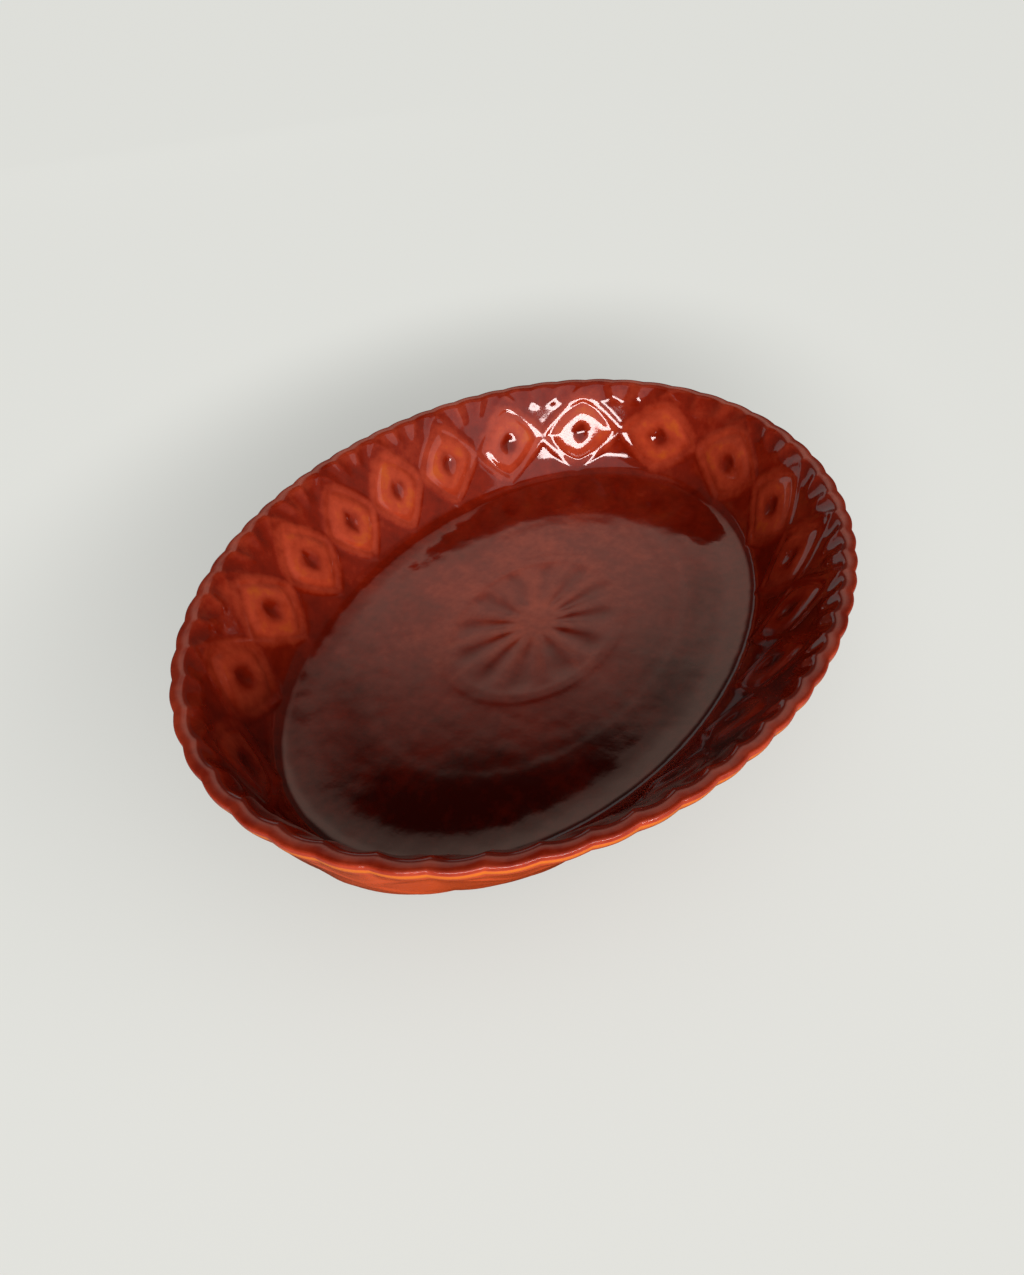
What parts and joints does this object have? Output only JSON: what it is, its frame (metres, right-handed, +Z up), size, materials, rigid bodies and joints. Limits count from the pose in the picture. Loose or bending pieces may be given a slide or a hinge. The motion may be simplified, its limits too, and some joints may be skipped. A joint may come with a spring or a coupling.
{
  "type": "oval serving dish",
  "caption": "Deep oval serving dish of glazed earthenware with a scalloped lip, a band of raised lozenges round the inner wall and a low bare foot.",
  "frame": {"origin": "centre of the foot face that the dish stands on", "axes": "+X along the length of the oval, +Y across it, +Z up out of the mouth"},
  "size_m": [0.34, 0.268, 0.06],
  "materials": {
    "fired_clay": "matt fired earthenware, bare at the foot",
    "inner_glaze": "glossy deep red-brown glaze, amber where it runs thin over edges",
    "outer_glaze": "glossy orange-red glaze, thinner and lighter than inside"
  },
  "bodies": {
    "root": {"clay_body": "fired_clay", "inner_glaze": "inner_glaze", "outer_glaze": "outer_glaze"}
  },
  "joints": []
}
